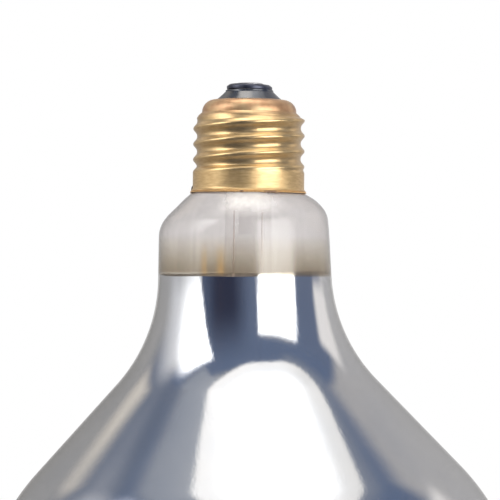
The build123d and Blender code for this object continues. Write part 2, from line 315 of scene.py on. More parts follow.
class Finish:
    """A node material around one Principled shader, with short calls for the nodes it uses. A value
    for a socket is a number, a colour as a tuple or another node's output."""

    def __init__(self, name):
        self.material = bpy.data.materials.new(name)
        self.material.use_nodes = True
        self.nodes = self.material.node_tree.nodes
        self.shader = self.nodes["Principled BSDF"]
        self.place = self.node("ShaderNodeTexCoord").outputs["Object"]

    def put(self, socket, value):
        """Gives a socket its value."""
        if isinstance(value, bpy.types.NodeSocket):
            self.material.node_tree.links.new(value, socket)
        else:
            socket.default_value = (*value, 1) if isinstance(value, tuple) else value

    def set(self, **values):
        """Values for the shader's own sockets, with _ for a space in a socket's name."""
        for name, value in values.items():
            self.put(self.shader.inputs[name.replace("_", " ")], value)

    def node(self, kind, settings=None, **values):
        """New node with its settings and with values for its sockets."""
        node = self.nodes.new(kind)
        for name, value in (settings or {}).items():
            setattr(node, name, value)
        for name, value in values.items():
            self.put(node.inputs[name.replace("_", " ")], value)
        return node

    def noise(self, scale, detail, stretch=(1, 1, 1)):
        """Noise with scale cells to the millimetre along each axis times stretch, from 0 to 1."""
        mapping = self.node("ShaderNodeMapping", Vector=self.place, Scale=[s / MM for s in stretch])
        vector = mapping.outputs["Vector"]
        return self.node("ShaderNodeTexNoise", Vector=vector, Scale=scale, Detail=detail).outputs["Fac"]

    def height(self, low, high):
        """Share of the way from one height to another, in millimetres, held between 0 and 1."""
        split = self.node("ShaderNodeSeparateXYZ", Vector=self.place)
        return self.span(split.outputs["Z"], low * MM, high * MM)

    def span(self, value, low, high, to_low=0.0, to_high=1.0):
        """Value brought from one range to another and held there."""
        ends = {"From_Min": low, "From_Max": high, "To_Min": to_low, "To_Max": to_high}
        return self.node("ShaderNodeMapRange", {"clamp": True}, Value=value, **ends).outputs["Result"]

    def maths(self, operation, a, b):
        """One arithmetic step on two values."""
        node = self.node("ShaderNodeMath", {"operation": operation})
        self.put(node.inputs[0], a)
        self.put(node.inputs[1], b)
        return node.outputs["Value"]

    def attribute(self, name):
        """Field of the piece, by its name."""
        return self.node("ShaderNodeAttribute", {"attribute_name": name}).outputs["Fac"]

    def ramp(self, value, *stops):
        """Colours along a value: each stop is a place from 0 to 1 and a colour."""
        node = self.node("ShaderNodeValToRGB", Fac=value)
        elements = node.color_ramp.elements
        while len(elements) < len(stops):
            elements.new(0.5)
        for element, (place, colour) in zip(elements, stops):
            element.position = place
            element.color = (*colour, 1)
        return node.outputs["Color"]

    def blend(self, share, a, b):
        """Mix of two colours."""
        node = self.node("ShaderNodeMix", {"data_type": "RGBA"})
        colours = [socket for socket in node.inputs if socket.type == "RGBA"]
        for socket, value in zip((node.inputs[0], *colours), (share, a, b)):
            self.put(socket, value)
        return [socket for socket in node.outputs if socket.type == "RGBA"][0]

    def either(self, share, a, b):
        """Mix of two shaders."""
        node = self.node("ShaderNodeMixShader")
        for socket, value in zip(node.inputs, (share, a, b)):
            self.put(socket, value)
        return node.outputs["Shader"]

    def clear(self, tint=(1, 1, 1)):
        """Shader that lets light straight through."""
        return self.node("ShaderNodeBsdfTransparent", Color=tint).outputs["BSDF"]

    def bump(self, height, distance):
        """Relief of a height from 0 to 1, distance millimetres deep."""
        node = self.node("ShaderNodeBump", Strength=1.0, Distance=distance * MM, Height=height)
        normal = self.shader.inputs["Normal"]
        if normal.is_linked:
            self.put(node.inputs["Normal"], normal.links[0].from_socket)
        self.put(normal, node.outputs["Normal"])

    def show(self, shader):
        """Makes a shader the material's surface."""
        self.put(self.nodes["Material Output"].inputs["Surface"], shader)
        return self.material


def see_through(finish, tint, haze, haze_colour, gloss_roughness=0.02, film=0.0):
    """Thin clear glass: straight through with a tint, some of it held back by a pale haze, and a
    clear reflection on top, from 4% in front to all of it at grazing sight, alike on both sides.
    A thin metal film adds a share of its own."""
    finish.set(Base_Color=haze_colour)
    body = finish.either(haze, finish.clear(tint), finish.shader.outputs["BSDF"])
    gloss = finish.node("ShaderNodeBsdfGlossy", Roughness=gloss_roughness).outputs["BSDF"]
    facing = finish.node("ShaderNodeLayerWeight", Blend=0.5).outputs["Facing"]
    sheen = finish.span(finish.maths("POWER", facing, 5.0), 0, 1, 0.04, 1)
    finish.material.surface_render_method = "BLENDED"
    return finish.show(finish.either(finish.maths("ADD", sheen, film), body, gloss))


def mottled(name, dark, light, tone, grain, depth, **values):
    """Finish whose colour wanders between a dark and a light one, with a relief depth millimetres
    deep. Tone and grain are the scale, detail and stretch of the noise behind each."""
    finish = Finish(name)
    finish.set(Base_Color=finish.ramp(finish.noise(*tone), (0.3, dark), (0.7, light)), **values)
    finish.bump(finish.noise(*grain), depth)
    return finish.material


def envelope_glass():
    """Soda glass: clear over the mirror, milky in the neck with fine upright streaks, with a tan bloom above
    the mirror's edge and two amber streaks in it. In front just under the cap a painted highlight makes it
    palest."""
    finish = Finish("envelope_glass")
    finish.set(Roughness=0.6, Specular_IOR_Level=0.1)
    bloom = finish.height(FILM_EDGE + 9.0, FILM_EDGE + 0.3)
    neck = finish.height(FILM_EDGE - 0.6, FILM_EDGE + 0.4)
    clouds = finish.noise(0.14, detail=2, stretch=(1, 1, 0.5))
    amber = finish.maths("MULTIPLY", finish.attribute("amber"), finish.span(bloom, 0.2, 0.9))
    tint = finish.ramp(
        bloom,
        (0.0, (0.975, 0.965, 0.96)),
        (0.25, (0.955, 0.935, 0.91)),
        (0.6, (0.9, 0.875, 0.825)),
        (1.0, (0.83, 0.79, 0.715)),
    )
    tint = finish.blend(amber, tint, (0.97, 0.86, 0.66))
    tint = finish.blend(neck, (0.975, 0.975, 0.975), tint)
    # Painted highlight: in front just under the cap, the haze is raised and its colour painted nearly white
    pale = finish.attribute("pale")
    milk = finish.span(clouds, 0.3, 0.7, 0.17, 0.25)
    milk = finish.maths("ADD", milk, finish.maths("MULTIPLY", pale, 0.17))
    fine = finish.noise(0.8, detail=3, stretch=(1, 1, 0.05))
    milk = finish.maths("ADD", milk, finish.span(fine, 0.4, 0.66, 0.0, 0.07))
    haze = finish.blend(neck, (0.004, 0.004, 0.004), milk)
    colour = finish.ramp(
        bloom,
        (0.0, (0.645, 0.61, 0.6)),
        (0.5, (0.49, 0.435, 0.375)),
        (1.0, (0.28, 0.215, 0.15)),
    )
    colour = finish.blend(amber, colour, (0.62, 0.38, 0.16))
    # Near-white colour of the painted highlight in front under the cap
    colour = finish.blend(pale, colour, (0.95, 0.92, 0.89))
    film = finish.maths("MULTIPLY", neck, finish.span(bloom, 0, 1, 0.0, 0.045))
    return see_through(finish, tint, haze, colour, finish.span(neck, 0, 1, 0.02, 0.2), film)


def mirror_metal():
    """Aluminium film laid on blown glass: its reflections waver slightly, with fine streaks down
    the bulb. Its inside is satin, and brown along the upper edge."""
    finish = Finish("mirror_film")
    inside = finish.attribute("inside")
    finish.set(Metallic=finish.span(inside, 0, 1, 1.0, 0.45))
    finish.set(Roughness=finish.span(inside, 0, 1, 0.075, 0.45))
    finish.bump(finish.noise(0.035, detail=1.5, stretch=(1, 1, 0.5)), 0.35)
    finish.bump(finish.noise(1.6, detail=2, stretch=(1, 1, 0.12)), 0.009)
    tone = finish.noise(0.05, detail=2)
    colour = finish.ramp(tone, (0.3, (0.80, 0.82, 0.86)), (0.7, (0.88, 0.885, 0.90)))
    edge = finish.maths("MULTIPLY", inside, finish.height(FILM_EDGE - 4, FILM_EDGE - 1))
    finish.set(Base_Color=finish.blend(edge, colour, (0.34, 0.29, 0.23)))
    return finish.material


def rolled_brass():
    """Satin yellow brass under a thin clear coat, brown in the thread's valleys and pink from heat
    round the shoulder."""
    finish = Finish("rolled_brass")
    finish.set(Metallic=0.95, Coat_Weight=0.6, Coat_Roughness=0.32)
    heat = finish.height(SHOULDER_FOOT - 1.8, SHOULDER_FOOT + 0.8)
    patch = finish.noise(0.3, detail=2)
    brushed = finish.noise(0.5, detail=4, stretch=(1, 1, 6))
    yellow = finish.ramp(brushed, (0.3, (0.61, 0.395, 0.165)), (0.7, (0.79, 0.565, 0.275)))
    pink = finish.ramp(
        patch, (0.35, (0.47, 0.25, 0.12)), (0.5, (0.59, 0.35, 0.18)), (0.65, (0.61, 0.42, 0.22))
    )
    colour = finish.blend(heat, yellow, pink)
    groove = finish.span(finish.attribute("groove"), 0.35, 1.0, 0.0, 0.3)
    colour = finish.blend(groove, colour, (0.42, 0.27, 0.12))
    band = finish.maths("MULTIPLY", finish.height(BAND_TOP + 0.6, BAND_TOP - 0.2), 0.15)
    dull = finish.maths("MAXIMUM", finish.maths("MULTIPLY", heat, 0.14), band)
    rough = finish.maths("ADD", finish.span(patch, 0.3, 0.7, 0.28, 0.35), dull)
    finish.set(Base_Color=colour, Roughness=rough)
    finish.bump(patch, 0.12)
    return finish.material


def moulded_glass():
    """Opaque near-black moulded glass with a blue cast."""
    dark, light = (0.012, 0.014, 0.022), (0.035, 0.042, 0.06)
    shine = {"Roughness": 0.18, "Specular_IOR_Level": 0.9}
    return mottled("moulded_glass", dark, light, (0.4, 3), (0.35, 1), 0.05, **shine)


def dark_contact():
    """Contact plate darkened by use, with a dull shine."""
    dark, light = (0.03, 0.034, 0.055), (0.10, 0.105, 0.14)
    return mottled("dark_contact", dark, light, (0.4, 3), (0.5, 1), 0.05, Metallic=0.6, Roughness=0.3)


def solder_metal(name, dark, light):
    """Solder with a dull skin."""
    return mottled(name, dark, light, (0.9, 4), (0.7, 2), 0.12, Metallic=1.0, Roughness=0.4)


def drawn_wire(name, dark, light, roughness, metal=1.0):
    """Drawn wire: metal with fine streaks along its length."""
    streak = (1.5, 3, (1, 1, 0.15))
    return mottled(name, dark, light, streak, streak, 0.01, Metallic=metal, Roughness=roughness)


def brown_cement():
    """Baked cement, matte and grainy, darker in its crumbs."""
    finish = Finish("brown_cement")
    grain = finish.noise(2.5, detail=5)
    bead = finish.ramp(grain, (0.3, (0.42, 0.22, 0.07)), (0.7, (0.66, 0.42, 0.18)))
    crumb = finish.ramp(grain, (0.3, (0.10, 0.055, 0.03)), (0.7, (0.34, 0.21, 0.12)))
    finish.set(Base_Color=finish.blend(finish.attribute("crumb"), bead, crumb), Roughness=0.85)
    finish.bump(grain, 0.1)
    return finish.material


def inner_glass():
    """Clear glass of the stem and rod, with thin grey edges."""
    finish = Finish("inner_glass")
    finish.set(Roughness=0.4, Specular_IOR_Level=0.2)
    tint = finish.ramp(
        finish.node("ShaderNodeLayerWeight", Blend=0.35).outputs["Facing"],
        (0.0, (0.985, 0.98, 0.975)),
        (0.8, (0.93, 0.92, 0.91)),
        (1.0, (0.74, 0.71, 0.69)),
    )
    clouds = finish.noise(0.2, detail=2, stretch=(1, 1, 0.3))
    haze = finish.span(clouds, 0.3, 0.7, 0.04, 0.12)
    colour = finish.ramp(clouds, (0.3, (0.60, 0.54, 0.50)), (0.7, (0.80, 0.77, 0.74)))
    return see_through(finish, tint, haze, colour)


def dress(piece, material, slot, *nodes):
    """Gives a new piece its finish and its body, and hides the solids that it stands for; the slot is not
    used.
    """
    piece.data.materials.clear()
    piece.data.materials.append(material)
    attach(piece, "root")
    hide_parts(*nodes)


# Glass


def bulb_outline(inset):
    """Half section of the blown bulb from the top of its neck to the middle of its face, drawn in
    by inset: a tapered neck, a hollow throat arc, a straight cone, a belly arc, a tighter edge arc
    and a shallow dome. Rows are (radius, drop below the rim)."""
    down = np.array([math.sin(NECK_TAPER), math.cos(NECK_TAPER)])
    corner = np.array([NECK_RADIUS, NECK_TOP_DROP]) + down * (THROAT_DROP - NECK_TOP_DROP) / down[1]
    half_turn = THROAT_ROUND * math.tan((CONE_ANGLE - NECK_TAPER) / 2)
    outward = np.array([math.cos(NECK_TAPER), -math.sin(NECK_TAPER)])
    throat_centre = corner - down * half_turn + outward * THROAT_ROUND
    throat = arc(throat_centre, THROAT_ROUND + inset, math.pi - NECK_TAPER, math.pi - CONE_ANGLE, 48)
    belly = arc((BELLY_RADIUS - BELLY_ROUND, BELLY_DROP), BELLY_ROUND - inset, -CONE_ANGLE, 0, 44)
    edge_centre = BELLY_RADIUS - EDGE_ROUND
    rise = math.sqrt((FACE_ROUND - EDGE_ROUND) ** 2 - edge_centre**2)
    edge_angle = math.atan2(rise, edge_centre)
    edge = arc((edge_centre, BELLY_DROP), EDGE_ROUND - inset, 0, edge_angle, 34)
    face = arc((0, BELLY_DROP - rise), FACE_ROUND - inset, edge_angle, math.pi / 2, 40)
    face[-1, 0] = 0
    top = np.array([NECK_RADIUS - inset / math.cos(NECK_TAPER), NECK_TOP_DROP])
    neck = np.linspace(top, throat[0], 20)
    cone = np.linspace(throat[-1], belly[0], 24)
    return join(neck, throat, cone, belly, edge, face)


def bulb_points(outline, angle):
    """Places an outline on the bulb's own axis: turned about it, leaned by the tilt and set
    beside the cap's axis at the rim. The outline may differ from column to column."""
    radius, drop = outline[..., 0], outline[..., 1]
    x, y = radius * np.cos(angle), radius * np.sin(angle)
    lean, rise = math.sin(BULB_TILT), math.cos(BULB_TILT)
    return np.stack([BULB_SHIFT + x * rise + drop * lean, y, RIM + x * lean - drop * rise], -1)


def upper_wall(inset, angle):
    """Wall from the sealed end of the neck tube down to the top of the neck: a straight tube, its
    flare to the cap's rim, then level sections that swell and drift until they meet the bulb."""
    tube = TUBE_RADIUS - inset
    mouth = MOUTH_RADIUS - inset
    low, high = (mouth, MOUTH_DROP), (tube, MOUTH_DROP - MOUTH_HEIGHT)
    plain = join(np.linspace((tube, RIM - SEAL), high, 10), np.linspace(high, low, 8)[:-1])
    drops = [MOUTH_DROP]
    radii = [mouth]
    drifts = [0.0]
    for share, swell, drift in SHOULDER:
        drops.append(MOUTH_DROP + share * (NECK_TOP_DROP - MOUTH_DROP))
        radii.append(MOUTH_RADIUS + swell * (NECK_RADIUS - MOUTH_RADIUS) - inset)
        drifts.append(drift)
    overlap = 3.0
    joint = NECK_TOP_DROP + overlap
    drops += [NECK_TOP_DROP, joint]
    radii += [NECK_RADIUS - inset, NECK_RADIUS + overlap * math.tan(NECK_TAPER) - inset]
    drifts += [BULB_SHIFT + drop * math.sin(BULB_TILT) for drop in (NECK_TOP_DROP, joint)]
    drop = np.linspace(MOUTH_DROP, NECK_TOP_DROP, 46)
    radius = through(drops, radii, drop)[:, None]
    drift = through(drops, drifts, drop)[:, None]
    level = round_axis(radius, angle, RIM - drop[:, None]) + drift[..., None] * [1, 0, 0]
    leaning = bulb_points(np.stack(np.broadcast_arrays(radius, drop[:, None]), -1), angle)
    share = ease((drop - drops[2]) / (NECK_TOP_DROP - drops[2]))[:, None, None]
    shoulder = level + share * (leaning - level)
    return np.concatenate([round_axis(plain[:, :1], angle, RIM - plain[:, 1:2]), shoulder])


def glass_wall(inset, angle):
    """Whole wall from the sealed end to the middle of the face, drawn in by inset."""
    outline = bulb_outline(inset)[1:, None, :]
    shape = np.broadcast_to(outline, (outline.shape[0], len(angle), 2))
    return np.concatenate([upper_wall(inset, angle), bulb_points(shape, angle)])


def make_envelope():
    """Blown envelope: its inside from the middle of the face up to the sealed end, then its
    outside down again, as one sheet without a gap."""
    angle = turns(BULB_COLUMNS)
    grid = np.concatenate([glass_wall(SIGHT_WALL, angle)[::-1], glass_wall(0, angle)])
    bearing = np.degrees(angle) - 270
    streaks = sum(hill(bearing, place, width) for place, width in AMBER_STREAKS)
    amber = np.broadcast_to(streaks, grid.shape[:2])
    # Painted highlight: the field pale marks a patch in front just under the cap, where the glass is painted
    # paler
    under = ease((grid[..., 2] - RIM + 6.5) / 4.0)
    pale = under * hill(bearing, -1.0, 21.0, 4)
    piece = surface("envelope", grid, fields={"amber": amber, "pale": pale})
    dress(piece, envelope_glass(), "glass", "glass_envelope")


def film_edge(angle):
    """Drop of the mirror's upper edge: two slow waves round the neck and a small step in front."""
    front = angle - 1.5 * math.pi
    wave = 0.22 * np.sin(front * 2 + 2.4) + 0.12 * np.sin(front * 5 + 0.6)
    step = 0.7 * (0.5 - ease((front - 0.13) / 0.05)) * hill(front, 0, 0.7)
    return FILM_EDGE_DROP + wave + step


def make_mirror():
    """Film inside the wall, from its uneven edge in the neck to the widest place: each column of
    the grid starts at its own height. Outside down, inside up, closed at both edges."""
    angle = turns(BULB_COLUMNS)
    rows = 150
    sheets = []
    for inset in (SIGHT_WALL + FILM_GAP, SIGHT_WALL + FILM):
        outline = bulb_outline(inset)
        length = distances(outline)
        start = np.interp(film_edge(angle), outline[:, 1], length)
        end = length[np.argmax(outline[:, 0])]
        share = np.linspace(0, 1, rows)[:, None]
        place = start + share * (end - start)
        radius = np.interp(place, length, outline[:, 0])
        drop = np.interp(place, length, outline[:, 1])
        sheets.append(bulb_points(np.stack([radius, drop], -1), angle))
    inside = np.repeat([0.0, 1.0], rows)[:, None] * np.ones(BULB_COLUMNS)
    grid = np.concatenate([sheets[0], sheets[1][::-1]])
    piece = surface("mirror", grid, loop_rows=True, fields={"inside": inside})
    dress(piece, mirror_metal(), "mirror_film", "mirror_coating")


# Cap


def cap_wall(angle):
    """Outside of the brass from the hole in its top to its lip: a flat top, a round shoulder, the
    rolled thread, a smooth band and a flared rim. The thread is a wave with narrow crests and wide
    valleys that climbs one pitch in each turn to the right and fades out at both ends. Also gives
    how deep in a valley each point lies, from 0 to 1."""
    centre = (SHOULDER_RADIUS - SHOULDER_ROUND, CAP_TOP - SHOULDER_ROUND)
    thread_top = SHOULDER_FOOT - 0.55
    step = [
        (SHOULDER_RADIUS, CAP_TOP - SHOULDER_ROUND),
        (SHOULDER_RADIUS, SHOULDER_FOOT + 0.2),
        (SHOULDER_RADIUS + 0.85, thread_top),
    ]
    shoulder = join(
        np.linspace((CAP_HOLE_RADIUS, CAP_TOP), (centre[0], CAP_TOP), 5),
        arc(centre, SHOULDER_ROUND, math.pi / 2, 0, 14),
        rounded(step, 0.6),
    )
    middle_radius = CREST_RADIUS - THREAD_DEPTH / 2
    height = np.linspace(thread_top, BAND_TOP, 150)
    enter = ease((thread_top - height) / LEAD_IN_HEIGHT)
    leave = ease((height - BAND_TOP) / RUN_OUT_HEIGHT)
    base = shoulder[-1, 0] + enter * (middle_radius - shoulder[-1, 0])
    base = base + (1 - leave) * (CREST_RADIUS - base)
    thread = np.stack([base, height], 1)[1:]
    outside = RIM_ROUND + SHEET
    swing = math.acos(1 - (CAP_HIGH[0] - CREST_RADIUS) / outside)
    lip_centre = (CREST_RADIUS + RIM_ROUND, RIM + outside * math.sin(swing))
    lip = arc(lip_centre, RIM_ROUND, math.pi, math.pi + swing, 14)
    band = np.linspace((CREST_RADIUS, BAND_TOP), lip[0], 10)[1:]
    profile = join(shoulder, thread, band, lip)
    radius, height_here = profile[:, :1], profile[:, 1:2]
    depth = np.interp(height_here, height[::-1], (enter * leave)[::-1], left=0, right=0)
    skew = THREAD_SKEW / 2 * (np.cos(angle) - 1)
    wave = np.cos(angle - TAU * (height_here - LAST_VALLEY - skew) / THREAD_PITCH)
    ripple = THREAD_DEPTH / 2 * depth * (wave - CREST_SHARPNESS * (1 - wave**2))
    return round_axis(radius + ripple, angle, height_here), depth * (0.5 - 0.5 * wave)


def make_cap():
    """Thin rolled sleeve: its outside, then the same form a sheet's thickness further in."""
    outer, groove = cap_wall(turns(256))
    along = np.gradient(outer, axis=0)
    around = np.roll(outer, -1, 1) - np.roll(outer, 1, 1)
    normal = unit(np.cross(around, along))
    outward = np.sign((normal[..., :2] * outer[..., :2]).sum(2) + normal[..., 2] * 2).mean()
    inner = outer - SHEET * normal * np.sign(outward)
    grid = np.concatenate([outer, inner[::-1]])
    fields = {"groove": np.concatenate([groove, groove[::-1]])}
    piece = surface("cap", grid, loop_rows=True, fields=fields, crease=60)
    dress(piece, rolled_brass(), "brass", "screw_cap")


def make_insulator():
    """Moulded cone over the hole in the brass, turned about Z: very slightly hollow between its
    collar and its foot, with the flange that grips the brass from inside."""
    collar = 5.62
    foot = 7.75
    hole = CAP_HOLE_RADIUS - 0.02
    top = PLATE_LOW[2]
    cone_top = top - 0.4
    slope = np.linspace(0, 1, 9)[:, None]
    cone = np.array([[collar, cone_top]]) + slope * np.array([[foot - collar, CAP_TOP - cone_top]])
    cone[:, 0] -= 0.06 * np.sin(math.pi * slope[:, 0])
    flange_top = CAP_TOP - SHEET
    bottom = INSULATOR_LOW[2]
    wide = INSULATOR_HIGH[0]
    inner = rounded(
        [(foot, CAP_TOP), (hole, CAP_TOP), (hole, flange_top), (wide, flange_top), (wide, bottom + 0.3),
         (CAP_HOLE_RADIUS, bottom), (LEAD_BORE + 1, bottom), (LEAD_BORE, flange_top), (LEAD_BORE, top)],
        [0, 0, 0.3, 0.2, 0.4, 0.2, 0.3],
    )
    outline = join(rounded([(LEAD_BORE, top), (collar, top), (collar, cone_top)], 0.18), cone, inner)
    piece = surface("insulator", spun(outline[:-1], 128), loop_rows=True, crease=50)
    dress(piece, moulded_glass(), "insulator", "cap_insulator")


def make_contact_plate():
    """Plate turned about Z, with a soft bevelled edge. Its rim rises and falls in three waves, and
    it leans down a little to the right."""
    low, high = PLATE_LOW[2], PLATE_HIGH[2]
    edge = PLATE_HIGH[0]
    flat = 4.6
    lean = 0.026
    steps = 128
    rim = [(edge, low), (edge, high - 0.5), (flat, high)]
    bends = [0.25, 0.3, 0.3, 0.1]
    outline = rounded([(LEAD_BORE, low), *rim, (LEAD_BORE, high), (LEAD_BORE, low)], bends)
    grid = spun(outline[:-1], steps)
    share = ease((np.hypot(grid[..., 0], grid[..., 1]) - 3.5) / 2)
    grid[..., 2] += share * 0.05 * np.sin(3 * turns(steps) + 1) * (grid[..., 2] > low + 0.2)
    grid[..., 2] -= lean * grid[..., 0]
    piece = surface("contact_plate_worn", grid, loop_rows=True)
    dress(piece, dark_contact(), "contact", "contact_plate")


def make_contact_solder():
    """Low pad of solder turned about Z, with a flat worn top and its peg through the plate. Its edge
    swings in and out in two waves and in five smaller ones."""
    low, high = SOLDER_LOW[2], SOLDER_HIGH[2]
    seat = PLATE_HIGH[2]
    flat = 2.9
    peg = 0.88
    steps = 96
    outline = rounded(
        [(0, high), (flat, high), (SOLDER_HIGH[0], seat + 0.01), (peg, seat + 0.01), (peg, low), (0, low)],
        [0.6, 0.05, 0.05, 0.1],
    )
    grid = spun(outline, steps)
    angle = turns(steps)
    share = ease((np.hypot(grid[..., 0], grid[..., 1]) - 2.0) / 1.5)
    swell = 1 - share * (0.05 + 0.04 * np.sin(2 * angle + 0.7) + 0.03 * np.sin(5 * angle))
    grid[..., :2] *= swell[..., None]
    piece = surface("contact_solder_pad", grid)
    bright = solder_metal("bright_solder", (0.46, 0.46, 0.47), (0.76, 0.76, 0.76))
    dress(piece, bright, "solder", "contact_solder")


# Inside


def press_section(share, angle):
    """Section of the stem between its round tube and its flat press: a superellipse whose half
    widths and power change with share."""
    across = STEM_RADIUS + share * (PRESS_WIDTH / 2 - STEM_RADIUS)
    thick = STEM_RADIUS + share * (PRESS_THICKNESS / 2 - STEM_RADIUS)
    power = 2 + 2.5 * share
    c, s = np.cos(angle), np.sin(angle)
    swell = (np.abs(c) ** power + np.abs(s) ** power) ** (-1 / power)
    return np.stack([across * c * swell, thick * s * swell], -1)


def make_stem():
    """Outside of the flared tube with its flat press: a trumpet sealed to the neck tube, a straight
    tube, then sections that flatten into the press."""
    steps = 96
    tube_foot = SEAL - STEM_HEIGHT
    press_top = tube_foot - PRESS_TAPER
    reach = TUBE_RADIUS - WALL - STEM_RADIUS
    swing = math.acos(1 - reach / FLARE_ROUND)
    centre = (STEM_RADIUS + FLARE_ROUND, SEAL - FLARE_ROUND * math.sin(swing))
    under = arc(centre, FLARE_ROUND, math.pi - swing, math.pi, 20)
    top = [(0, SEAL + WALL), (TUBE_RADIUS, SEAL + WALL), (TUBE_RADIUS, SEAL + 0.02)]
    turned = spun(join(top, under, [(STEM_RADIUS, tube_foot)]), steps)
    rows = []
    for share in np.linspace(0, 1, 12)[1:]:
        flat = press_section(ease(share), turns(steps))
        height = tube_foot + share * (press_top - tube_foot)
        rows.append(np.concatenate([flat, np.full((steps, 1), height)], 1))
    foot = rows[-1].copy()
    foot[:, 2] = STEM_FOOT + 0.4
    rows.append(foot)
    for shrink, lift in ((0.97, 0.15), (0.88, 0.0), (0.0, 0.0)):
        tip = foot * [shrink, shrink, 0]
        tip[:, 2] = STEM_FOOT + lift
        rows.append(tip)
    piece = surface("stem", np.concatenate([turned, rows]), crease=55)
    dress(piece, inner_glass(), "stem_glass", "stem_tube")


def make_exhaust():
    """Outside of the thin tube on the press, turned about Z: its upper end is melted shut in a
    small dome."""
    dome = arc((0, EXHAUST_HIGH[2] - EXHAUST_RADIUS), EXHAUST_RADIUS, 0, math.pi / 2, 12)
    dome[-1, 0] = 0
    outline = join([(0, EXHAUST_LOW[2]), (EXHAUST_RADIUS, EXHAUST_LOW[2])], dome)
    piece = surface("exhaust", spun(outline, 64))
    dress(piece, inner_glass(), "stem_glass", "exhaust_tube")


def make_rod():
    """Solid rod turned about Z, which ends in a melted button."""
    low, high = ROD_LOW[2], ROD_HIGH[2]
    button = ROD_HIGH[0]
    shoulder = low + 4.0
    rod = 1.6
    outline = join(
        [(0, low)],
        arc((0, low + button), button, -math.pi / 2, 0, 14)[1:],
        rounded([(button, low + button), (button, shoulder), (rod, shoulder + rod), (rod, high)], 1.0),
        [(0, high)],
    )
    piece = surface("rod", spun(outline, 64), crease=60)
    dress(piece, inner_glass(), "stem_glass", "support_rod")


def coil_corners():
    """Corners of the coil's open ring: its ends, and one at each hook."""
    spread = (360 - COIL_GAP) / (HOOKS + 1)
    angle = np.radians(COIL_GAP / 2 - 90 + spread * np.arange(HOOKS + 2))
    height = (COIL_LOW[2] + COIL_HIGH[2]) / 2
    return round_axis(COIL_RING_RADIUS, angle, height)


def make_filament(tungsten):
    """Tungsten wire in a close helix: it goes once round the route between the hooks in each pitch
    of the way along it."""
    path = soft_route(coil_corners(), 1.5, 10)
    length = distances(path)
    points_per_turn = 14
    place = np.linspace(0, length[-1], int(length[-1] / COIL_PITCH * points_per_turn))
    centre = np.stack([np.interp(place, length, path[:, k]) for k in range(3)], 1)
    along = unit(np.gradient(centre, axis=0))
    up = np.array([0, 0, 1.0])
    side = np.cross(along, up)
    winding = (COIL_HIGH[2] - COIL_LOW[2]) / 2 - COIL_WIRE
    turn = TAU * place / COIL_PITCH
    wire = centre + winding * (side * np.cos(turn)[:, None] + up * np.sin(turn)[:, None])
    piece = surface("filament_coil", carried(wire, COIL_WIRE, 6))
    dress(piece, tungsten, "tungsten", "filament")


def paint_nodes(material, *nodes):
    """Gives CAD solids that stay as they are a finish of their own."""
    for node in nodes:
        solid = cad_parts[node]
        solid.data.materials.clear()
        solid.data.materials.append(material)


def make_drop_of_solder():
    """Side solder: a lumpy drop over the rim. It is an ellipsoid whose radius swings in two slow
    waves, one round it and one up it."""
    shift, shares = (0.45, 0, 0.35), (0.8, 1.03, 1.1)
    middle = (DROP_LOW + DROP_HIGH) / 2 + shift
    half = (DROP_HIGH - DROP_LOW) / 2 * shares
    up = np.linspace(-math.pi / 2, math.pi / 2, 24)[:, None]
    angle = turns(36)
    swell = 1 + 0.07 * np.sin(3 * angle + 1) * np.cos(up) + 0.06 * np.sin(2 * up + 1) * np.cos(up)
    level = np.cos(up) * swell
    level[[0, -1]] = 0
    piece = surface("side_solder_drop", middle + half * round_axis(level, angle, np.sin(up)))
    burnt = solder_metal("burnt_solder", (0.03, 0.022, 0.02), (0.13, 0.1, 0.09))
    dress(piece, burnt, "solder", "side_solder")


def make_cement():
    """Ring of cement between glass and brass, with a bead squeezed out under the rim all round. The
    bead's section swells at two places in front, where brown crumbs hang from it."""
    low, high = CEMENT_LOW[2], CEMENT_HIGH[2]
    outer = CEMENT_HIGH[0] - 0.02
    inner = TUBE_RADIUS + 0.02
    outline = rounded([(inner, low), (outer, low), (outer, high), (inner, high), (inner, low)], 0.25)
    piece = surface("cement", spun(outline[:-1], 96), loop_rows=True)
    dress(piece, brown_cement(), "cement", "basing_cement")
    angle = turns(360)
    bearing = np.degrees(angle) - 270
    crumb = sum(hill(bearing, place, width, 4) for place, width in CRUMBS)
    rough = 0.5 + 0.3 * np.sin(23 * angle + 1) + 0.2 * np.sin(57 * angle)
    section = arc((0, 0), 1.0, 0, TAU, 13)[:-1, :, None]
    swell = 1 + crumb * (0.5 + 0.9 * rough)
    radius = BEAD_RADIUS + 0.16 * section[:, 0] * (1 + 0.4 * crumb)
    height = RIM - 0.01 + 0.13 * (section[:, 1] - 0.3) * swell
    fields = {"crumb": np.broadcast_to(crumb, height.shape)}
    bead = surface("cement_bead", round_axis(radius, angle, height), loop_rows=True, fields=fields)
    dress(bead, brown_cement(), "cement")


# Studio


def emission(name):
    """Light in the colour of the field called light; where that field's alpha is 0 it is clear."""
    finish = Finish(name)
    field = finish.node("ShaderNodeAttribute", {"attribute_name": "light"})
    light = finish.node("ShaderNodeEmission", Color=field.outputs["Color"]).outputs["Emission"]
    return finish.show(finish.either(field.outputs["Alpha"], finish.clear(), light))


STUDIO_MIDDLE = np.array([0.0, 0.0, -75.0])


def reflected(name, bearing, rise, distance, colour, clear):
    """Card that shows in reflections alone, so it neither lights matte surfaces nor stands in the
    picture. Its points lie on a sphere round the bulb at bearings and elevations in degrees:
    bearing 0 is towards the camera and grows to the camera's right."""
    a, e = np.radians(bearing), np.radians(rise)
    grid = STUDIO_MIDDLE + distance * np.stack([np.cos(e) * np.sin(a), -np.cos(e) * np.cos(a), np.sin(e)], -1)
    light = np.concatenate([colour, clear[..., None]], -1)
    piece = surface(name, grid, loop_columns=False, fields={"light": light})
    piece.data.materials.append(emission(name))
    piece.visible_camera = False
    piece.visible_diffuse = False
    piece.visible_transmission = False
    piece.visible_shadow = False


